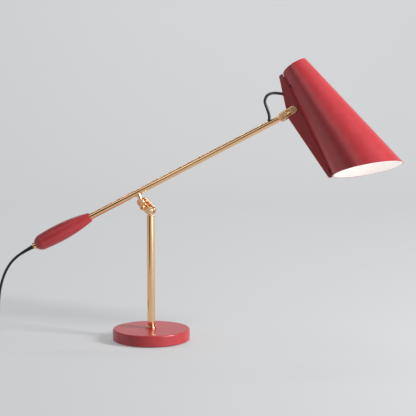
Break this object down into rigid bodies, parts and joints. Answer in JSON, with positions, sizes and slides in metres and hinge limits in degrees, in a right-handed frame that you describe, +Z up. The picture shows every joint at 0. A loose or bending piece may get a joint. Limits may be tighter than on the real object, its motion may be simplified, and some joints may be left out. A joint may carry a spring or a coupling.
{
  "type": "architect desk lamp",
  "caption": "Counterbalanced desk lamp: a cone shade on a long arm, joined by ball clamps to a stem on a heavy round base, with a cigar-shaped counterweight and a mains lead.",
  "frame": {"origin": "centre of the base's underside, on the table", "axes": "+Z up the stem, +X towards the shade end of the arm, -Y towards the side with the clamp screws"},
  "size_m": [0.9295, 0.24, 0.5841],
  "materials": {
    "red_paint": "satin powder coat",
    "brass": "polished and lacquered",
    "plated_steel": "nickel plated",
    "black_cable": "matt sheath",
    "black_plastic": "moulded, fine texture",
    "felt_pad": "pressed felt",
    "bulb_glass": "opal"
  },
  "bodies": {
    "stand": {"base_disc": "red_paint", "base_pad": "felt_pad", "base_washer": "plated_steel", "base_nut": "plated_steel", "stem_ferrule": "brass", "stem_tube": "brass", "stem_plug": "brass"},
    "turning_ball": {"stem_ball": "brass", "mains_lead": "black_cable", "lead_coil": "black_cable", "lead_tie": "black_plastic", "lead_tail": "black_cable", "plug_body": "black_plastic", "plug_pins": "plated_steel", "plug_relief": "black_cable"},
    "lower_clamp": {"lower_clamp_front": "brass", "lower_clamp_rear": "brass", "lower_clamp_screw": "brass", "lower_clamp_nut": "brass"},
    "arm": {"arm_tube": "brass", "arm_stub": "brass", "arm_end_plug": "brass", "counterweight": "red_paint", "cord_collar": "brass", "arm_lead": "black_cable", "head_lead": "black_cable"},
    "end_ball": {"arm_end_ball": "brass"},
    "head_clamp": {"head_clamp_front": "brass", "head_clamp_rear": "brass", "head_clamp_screw": "brass", "head_clamp_nut": "brass", "shade_pivot_pin": "brass"},
    "shade": {"shade_cone": "red_paint", "back_fin": "red_paint", "fin_rivets": "plated_steel", "pivot_spacer": "plated_steel", "fin_grommet": "black_cable", "holder_lead": "black_cable", "holder_hub": "plated_steel", "lampholder": "black_plastic", "holder_ring": "black_plastic", "bulb_cap": "plated_steel", "bulb_glass": "bulb_glass", "switch_body": "black_plastic"},
    "switch": {"switch_button": "black_plastic"}
  },
  "joints": [
    {"name": "stem_swivel", "type": "hinge", "parent": "stand", "child": "turning_ball", "pos_m": [0, 0, 0.2715], "axis": [0, 0, 1], "range_deg": [-45, 45]},
    {"name": "lower_clamp_tilt", "type": "hinge", "parent": "turning_ball", "child": "lower_clamp", "pos_m": [0, 0, 0.2715], "axis": [-0.6299, -0.76, -0.16], "range_deg": [-12, 13], "deforming": ["mains_lead"]},
    {"name": "arm_tilt", "type": "hinge", "parent": "lower_clamp", "child": "arm", "pos_m": [-0.01799, 0.01142, 0.28809], "axis": [-0.6299, -0.76, -0.16], "range_deg": [-25, 22]},
    {"name": "head_swivel", "type": "hinge", "parent": "arm", "child": "end_ball", "pos_m": [0.27033, 0.01142, 0.46298], "axis": [0.887, 0, 0.4617], "range_deg": [-60, 60], "deforming": ["head_lead"]},
    {"name": "head_clamp_tilt", "type": "hinge", "parent": "end_ball", "child": "head_clamp", "pos_m": [0.27033, 0.01142, 0.46298], "axis": [0.1906, 0.9531, -0.2352], "range_deg": [-30, 40]},
    {"name": "shade_tilt", "type": "hinge", "parent": "head_clamp", "child": "shade", "pos_m": [0.29311, 0.01043, 0.47744], "axis": [0.1906, 0.9531, -0.2352], "range_deg": [-27, 14]},
    {"name": "switch_press", "type": "slide", "parent": "shade", "child": "switch", "axis": [0.8234, 0.3943, 0.4081], "range_m": [0, 0.0015], "stiffness_N_per_m": 250, "springref_m": -0.002}
  ]
}
